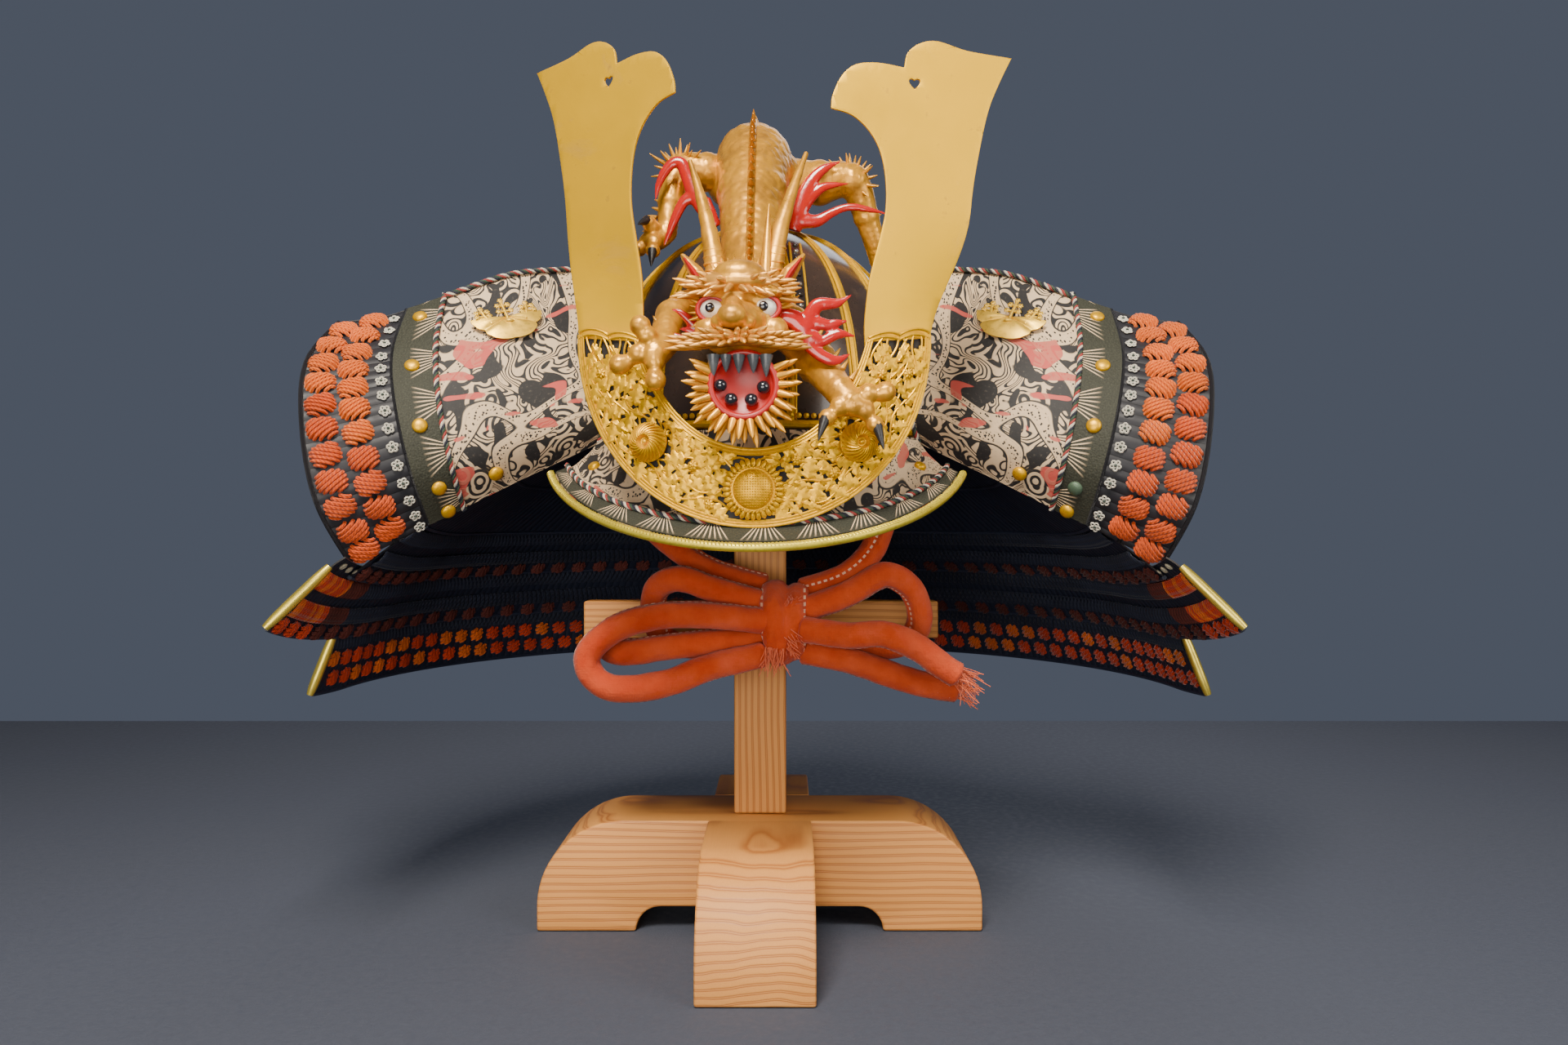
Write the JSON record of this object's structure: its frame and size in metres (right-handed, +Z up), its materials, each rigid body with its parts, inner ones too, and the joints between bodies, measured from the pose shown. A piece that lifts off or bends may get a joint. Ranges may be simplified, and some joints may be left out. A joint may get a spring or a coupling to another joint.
{
  "type": "kabuto samurai helmet on a wooden stand",
  "caption": "Samurai helmet with gilt horns, a carved dragon and a laced neck guard, tied with an orange cord on a plain wooden stand.",
  "frame": {"origin": "centre of the object's box, on the floor under the stand's feet", "axes": "+X to the viewer's right as the crest faces the viewer, -Y out of the helmet's front, +Z up"},
  "size_m": [0.5984, 0.4812, 0.5431],
  "materials": {
    "cedar": "bare, satin",
    "black_lacquer": "lacquer, glossy",
    "gilt": "aged gilding, satin",
    "gilded_wood": "gold leaf on carved wood, worn",
    "red_lacquer": "red lacquer, satin",
    "printed_leather": "printed, matte",
    "silk_cord": "woven silk, matte"
  },
  "bodies": {
    "root": {"stand_side_foot": "cedar", "stand_long_foot": "cedar", "stand_post": "cedar", "stand_crossbar": "cedar", "stand_head_block": "cedar", "bowl": "black_lacquer", "bowl_ribs": "gilt", "bowl_strip_left": "gilt", "bowl_strip_right": "gilt", "visor": "printed_leather", "visor_rim": "gilt", "crest_base": "gilt", "crest_boss_centre": "gilt", "crest_boss_left": "gilt", "crest_boss_right": "gilt", "horn_left": "gilt", "horn_right": "gilt", "dragon_body": "gilded_wood", "dragon_hind_leg_right": "gilded_wood", "dragon_hind_leg_left": "gilded_wood", "dragon_fore_leg_left": "gilded_wood", "dragon_fore_leg_right": "gilded_wood", "dragon_head": "gilded_wood", "dragon_horn_left": "gilded_wood", "dragon_horn_right": "gilded_wood", "dragon_jaw": "gilded_wood", "dragon_mouth": "red_lacquer", "dragon_brow": "gilded_wood", "dragon_moustache": "gilded_wood", "flame_left_hip": "red_lacquer", "flame_right_hip": "red_lacquer", "flame_right_cheek": "red_lacquer", "flame_left_cheek": "red_lacquer", "neck_lame_1": "black_lacquer", "neck_lame_2": "black_lacquer", "neck_lame_3": "black_lacquer", "neck_lame_4": "black_lacquer", "lame_trim_left_4": "gilt", "lame_trim_right_4": "gilt", "neck_lame_5": "black_lacquer", "lame_trim_left_5": "gilt", "lame_trim_right_5": "gilt", "turnback_leather_left": "printed_leather", "turnback_lame_left": "black_lacquer", "leaf_ornament_left": "gilt", "turnback_leather_right": "printed_leather", "turnback_lame_right": "black_lacquer", "leaf_ornament_right": "gilt", "chin_knot": "silk_cord", "chin_strap_left": "silk_cord", "chin_strap_right": "silk_cord", "bow_back_loop_left": "silk_cord", "bow_front_loop_left": "silk_cord", "bow_inner_loop_left": "silk_cord", "bow_loop_right": "silk_cord", "cord_tail_front": "silk_cord", "cord_tail_rear": "silk_cord"}
  },
  "joints": []
}
